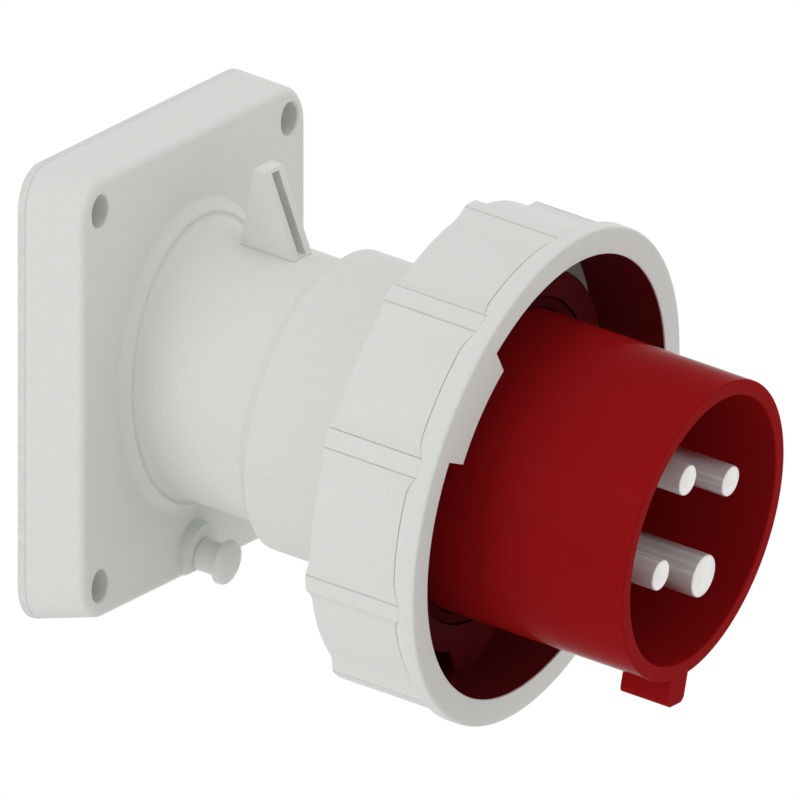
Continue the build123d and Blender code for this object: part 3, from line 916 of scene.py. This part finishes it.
def build_ring():
    angles, top, shelf, foot, step = rib_angles()
    web_front = RING_BACK + RING_WEB
    bore_front_edge, bore_back_edge = RING_BORE_EDGES
    front = rounded(
        [
            (RING_RIM, RING_FRONT - RING_FLAT),
            (RING_RIM, RING_FRONT, RING_EDGE),
            (RING_MOUTH, RING_FRONT, RING_MOUTH_EDGE),
            (RING_MOUTH, LIP_BACK),
            (LINER_OUTER, LIP_BACK),
            (LINER_OUTER, LINER_BACK),
            (LINER_INNER, LINER_BACK),
            (LINER_INNER, web_front, RING_EDGE),
            (RING_BORE, web_front, bore_front_edge),
            (RING_BORE, RING_BACK, bore_back_edge),
            (RING_RIM - RING_BACK_ROUND - RING_FLAT, RING_BACK),
        ],
        closed=False,
    )
    bm = bmesh.new()
    columns = []
    for angle in angles:
        nearest = round((angle - RIB_PHASE) / step) * step + RIB_PHASE
        profile = ring_profile(angle - nearest, top, shelf, foot)
        profile += [(p.x, p.y) for p in front]
        c, s = math.cos(angle), math.sin(angle)
        columns.append([bm.verts.new((r * c, r * s, t)) for r, t in profile])
    for k, here in enumerate(columns):
        there = columns[(k + 1) % len(columns)]
        for i in range(len(here)):
            j = (i + 1) % len(here)
            bm.faces.new((here[i], here[j], there[j], there[i]))
    ring = as_object("ring_shell", bm, SPOUT)
    tools = []
    for turn in (0, math.pi):
        outline = sector_outline(LUG_INNER, LINER_OUTER + RING_SUNK, LUG_MIDDLE + turn, LUG_SPAN)
        back = RING_FRONT - LUG_THICKNESS
        tools.append(prism("lug", outline, back, RING_FRONT, SPOUT, LUG_EDGE))
    for middle in STOP_BLOCK_ANGLES:
        outline = sector_outline(
            STOP_BLOCK_RADIUS,
            LINER_INNER + RING_SUNK,
            math.radians(middle),
            STOP_BLOCK_SPAN,
        )
        tools.append(prism("stop", outline, web_front - STOP_SUNK, STOP_BLOCK_FRONT))
    combine(ring, "UNION", *tools)
    return finished(ring, materials["grey_ring"], "ring", "bayonet_ring", RING_CREASE)


def build_liner():
    liner = lathe(
        "ring_lining",
        [
            (LINER_INNER, LINER_BACK, LINER_EDGE),
            (LINER_OUTER, LINER_BACK),
            (LINER_OUTER, LIP_BACK),
            (LINER_INNER, LIP_BACK),
        ],
    )
    windows = [
        prism(
            "window",
            sector_outline(LINER_INNER - CUT, LINER_OUTER + CUT, LUG_MIDDLE + turn, LUG_SPAN),
            RING_FRONT - LUG_THICKNESS - FIT,
            RING_FRONT,
        )
        for turn in (0, math.pi)
    ]
    combine(liner, "DIFFERENCE", *windows)
    return finished(liner, materials["red_liner"], "ring", "ring_liner")


# Contact carrier, its pins and seal


def build_carrier():
    carrier = lathe(
        "carrier_moulding",
        [
            (0, FLOOR_BACK),
            (SPIGOT_INNER, FLOOR_BACK),
            (SPIGOT_INNER, SPIGOT_BACK),
            (SPIGOT_RADIUS, SPIGOT_BACK, SPIGOT_EDGE),
            (SPIGOT_RADIUS, HOUSING_FRONT),
            (HUB_RADIUS, HOUSING_FRONT, HUB_EDGE),
            (HUB_RADIUS, HUB_FRONT, HUB_FRONT_EDGE),
            (SEAL_GROOVE, HUB_FRONT),
            (SEAL_GROOVE, SEAL_FLOOR),
            (SHROUD_RADIUS, SEAL_FLOOR),
            (SHROUD_RADIUS, SHROUD_RIM, SHROUD_EDGE),
            (SHROUD_INNER, SHROUD_RIM, SHROUD_EDGE),
            (SHROUD_INNER, FLOOR_FRONT, WELL_ROUND),
            (0, FLOOR_FRONT),
        ],
        steps=256,
    )
    low = -SHROUD_RADIUS - KEY_HEIGHT
    key_outline = rounded(
        [
            (-KEY_WIDTH / 2, low, KEY_EDGE),
            (KEY_WIDTH / 2, low, KEY_EDGE),
            (KEY_WIDTH / 2, -SHROUD_RADIUS + KEY_SUNK),
            (-KEY_WIDTH / 2, -SHROUD_RADIUS + KEY_SUNK),
        ]
    )
    key = prism("key", key_outline, SHROUD_RIM - KEY_LENGTH, SHROUD_RIM)
    nib_outline = []
    for radius, turn in NIB_CORNERS:
        angle = math.radians(NIB_ANGLE + turn)
        edge = NIB_EDGE if radius > HUB_RADIUS else 0.0
        nib_outline.append((radius * math.cos(angle), radius * math.sin(angle), edge))
    nib = prism("nib", rounded(nib_outline), NIB_BACK, HUB_FRONT)
    post_back = FLOOR_BACK - BLOCK_POST_LENGTH
    added = [key, nib]
    for turn in (0, math.pi):
        place = beside(POST_CIRCLE, POST_ANGLE + turn)
        added.append(rod("boss", POST_RADIUS, SPIGOT_BACK, FLOOR_FRONT - CARRIER_SUNK, place))
        place = beside(BLOCK_SCREW_CIRCLE, BLOCK_SCREW_ANGLE + turn)
        post = rod("post", BLOCK_POST_RADIUS, post_back, FLOOR_BACK + CARRIER_SUNK, place)
        added.append(post)
    combine(carrier, "UNION", *added)

    groove = lathe(
        "groove",
        [
            (GROOVE_RADIUS, GROOVE_BACK),
            (SPIGOT_RADIUS + CUT, GROOVE_BACK),
            (SPIGOT_RADIUS + CUT, GROOVE_FRONT),
            (GROOVE_RADIUS, GROOVE_FRONT),
        ],
    )
    cuts = [groove]
    for turn in (0, math.pi):
        place = beside(POST_CIRCLE, POST_ANGLE + turn)
        way, back, front = SCREW_RADIUS + FIT, SPIGOT_BACK - CUT, FLOOR_FRONT + CUT
        cuts.append(rod("screw_way", way, back, front, place, steps=32))
        place = beside(BLOCK_SCREW_CIRCLE, BLOCK_SCREW_ANGLE + turn)
        back = post_back - CUT
        cuts.append(rod("screw_way", SCREW_RADIUS, back, FLOOR_BACK, place, steps=32))
    for angle, radius in PINS.values():
        place = beside(PIN_CIRCLE, math.radians(angle))
        way = radius + PIN_SHANK_STEP + FIT
        cuts.append(rod("pin_way", way, FLOOR_BACK - CUT, FLOOR_FRONT + CUT, place))
    combine(carrier, "DIFFERENCE", *cuts)
    finished(carrier, materials["red_carrier"], "inlet", "contact_carrier")
    # The hub's front faces get the darker copy of the red, which is painted shade inside the ring.
    carrier.data.materials.append(hub_painted_shade)
    to_spout = SPOUT.inverted()
    for face in carrier.data.polygons:
        centre = to_spout @ (face.center / MM)
        on_shaded_hub = centre.z < HUB_FRONT + MARGIN and centre.xy.length > SHROUD_RADIUS + MARGIN
        face.material_index = 1 if on_shaded_hub else 0
    return carrier


def build_pin(name, angle, radius):
    place = beside(PIN_CIRCLE, math.radians(angle))
    shank_front = FLOOR_FRONT - PIN_SHANK_RECESS
    pin = lathe(
        f"contact_{name}",
        [
            (0, BARREL_BACK + WIRE_DEPTH),
            (WIRE_HOLE, BARREL_BACK + WIRE_DEPTH),
            (WIRE_HOLE, BARREL_BACK, WIRE_HOLE_EDGE),
            (BARREL_RADIUS, BARREL_BACK, BARREL_EDGE),
            (BARREL_RADIUS, SHOULDER_BACK),
            (SHOULDER_RADIUS, SHOULDER_BACK),
            (SHOULDER_RADIUS, SHOULDER_FRONT),
            (radius + PIN_SHANK_STEP, SHOULDER_FRONT),
            (radius + PIN_SHANK_STEP, shank_front, PIN_SHANK_EDGE),
            (radius, shank_front),
            (radius, PIN_FRONT - PIN_DOME, PIN_EDGE),
            (radius * 0.5, PIN_FRONT - PIN_DOME * 0.3, radius),
            (0, PIN_FRONT),
        ],
        place,
        steps=96,
    )
    clamp = beside(PIN_CIRCLE, math.radians(angle), BARREL_BACK + WIRE_DEPTH / 2)
    outward = clamp @ Matrix.Rotation(math.pi / 2, 4, "Y")
    way = rod("clamp_way", CLAMP_HOLE, 0, BARREL_RADIUS + CUT, outward, steps=32)
    combine(pin, "DIFFERENCE", way)
    return finished(pin, materials["plated_contact"], "inlet", f"pin_{name}")


def build_face_seal():
    seal = lathe(
        "seal_ring",
        [
            (SHROUD_RADIUS + FIT, SEAL_FLOOR),
            (SEAL_GROOVE - FIT, SEAL_FLOOR),
            (SEAL_GROOVE - FIT, SEAL_FACE, SEAL_EDGE),
            (SHROUD_RADIUS + FIT, SEAL_FACE, SEAL_EDGE),
        ],
    )
    return finished(seal, seal_rubber, "inlet", "face_seal")


build_housing()
build_gasket()
build_peg()
build_ring()
build_liner()
build_carrier()
for name, (angle, radius) in PINS.items():
    build_pin(name, angle, radius)
build_face_seal()


# Stage, lights and camera


def white_to_camera(tree, surface, shown):
    """Show plain white to the camera, glossy and transmission rays, and the surface otherwise."""
    path = tree.nodes.new("ShaderNodeLightPath")
    either = tree.nodes.new("ShaderNodeMath")
    either.operation = "MAXIMUM"
    tree.links.new(path.outputs["Is Camera Ray"], either.inputs[0])
    tree.links.new(path.outputs["Is Glossy Ray"], either.inputs[1])
    every = tree.nodes.new("ShaderNodeMath")
    every.operation = "MAXIMUM"
    tree.links.new(either.outputs[0], every.inputs[0])
    tree.links.new(path.outputs["Is Transmission Ray"], every.inputs[1])
    mix = tree.nodes.new("ShaderNodeMixShader")
    tree.links.new(every.outputs[0], mix.inputs[0])
    tree.links.new(surface, mix.inputs[1])
    tree.links.new(shown, mix.inputs[2])
    return mix


def build_world(level, lean):
    """Even white surroundings, a little brighter towards the side that the lean points to."""
    world = bpy.data.worlds.new("studio")
    world.use_nodes = True
    tree = world.node_tree
    light = tree.nodes["Background"]
    light.inputs["Color"].default_value = (1, 1, 1, 1)
    place = tree.nodes.new("ShaderNodeTexCoord")
    towards = tree.nodes.new("ShaderNodeVectorMath")
    towards.operation = "DOT_PRODUCT"
    towards.inputs[1].default_value = lean
    tree.links.new(place.outputs["Generated"], towards.inputs[0])
    strength = tree.nodes.new("ShaderNodeMath")
    strength.inputs[1].default_value = level
    tree.links.new(towards.outputs["Value"], strength.inputs[0])
    tree.links.new(strength.outputs[0], light.inputs["Strength"])
    white = tree.nodes.new("ShaderNodeBackground")
    white.inputs["Color"].default_value = (1, 1, 1, 1)
    white.inputs["Strength"].default_value = 1.0
    mix = white_to_camera(tree, light.outputs[0], white.outputs[0])
    tree.links.new(mix.outputs[0], tree.nodes["World Output"].inputs["Surface"])
    bpy.context.scene.world = world


def build_floor(height):
    bm = bmesh.new()
    bmesh.ops.create_grid(bm, x_segments=1, y_segments=1, size=FLOOR_HALF)
    floor = as_object("floor", bm, Matrix.Translation((0, 0, height)))
    floor.data.transform(Matrix.Scale(MM, 4))
    material, tree, shader = new_material("pale_floor")
    shader.inputs["Base Color"].default_value = (0.9, 0.9, 0.9, 1)
    shader.inputs["Roughness"].default_value = 0.8
    glow = tree.nodes.new("ShaderNodeEmission")
    glow.inputs["Strength"].default_value = 1.0
    mix = white_to_camera(tree, shader.outputs[0], glow.outputs[0])
    tree.links.new(mix.outputs[0], tree.nodes["Material Output"].inputs["Surface"])
    floor.data.materials.append(material)


def soft_lamp(name, place, aim, side, power):
    """Square soft box at a place in millimetres, turned to its aim."""
    data = bpy.data.lights.new(name, "AREA")
    data.shape = "SQUARE"
    data.size = side * MM
    data.energy = power
    lamp = bpy.data.objects.new(name, data)
    bpy.context.scene.collection.objects.link(lamp)
    lamp.location = Vector(place) * MM
    direction = (Vector(aim) - Vector(place)).normalized()
    lamp.rotation_euler = direction.to_track_quat("-Z", "Y").to_euler()


def build_camera():
    azimuth, elevation = CAMERA_AZIMUTH, CAMERA_ELEVATION
    right = Vector((math.cos(azimuth), -math.sin(azimuth), 0))
    back = Vector(
        (
            -math.sin(azimuth) * math.cos(elevation),
            -math.cos(azimuth) * math.cos(elevation),
            math.sin(elevation),
        )
    )
    up = back.cross(right)
    across = (PICTURE_SIDE / 2 - ORIGIN_X_PIXEL) / PIXELS_PER_MM
    above = (ORIGIN_Y_PIXEL - PICTURE_SIDE / 2) / PIXELS_PER_MM
    data = bpy.data.cameras.new("camera")
    data.type = "ORTHO"
    data.ortho_scale = PICTURE_SIDE / PIXELS_PER_MM * MM
    data.clip_end = 10.0
    camera = bpy.data.objects.new("camera", data)
    bpy.context.scene.collection.objects.link(camera)
    place = (right * across + up * above + back * CAMERA_DISTANCE) * MM
    turn = Matrix((right, up, back)).transposed().to_4x4()
    camera.matrix_world = Matrix.Translation(place) @ turn
    bpy.context.scene.camera = camera


build_world(WORLD_LEVEL, WORLD_LEAN)
build_floor(FLOOR_HEIGHT)
for name, (place, aim, side, power) in LAMPS.items():
    soft_lamp(name, place, aim, side, power)
build_camera()
bpy.context.scene.view_settings.view_transform = "Standard"
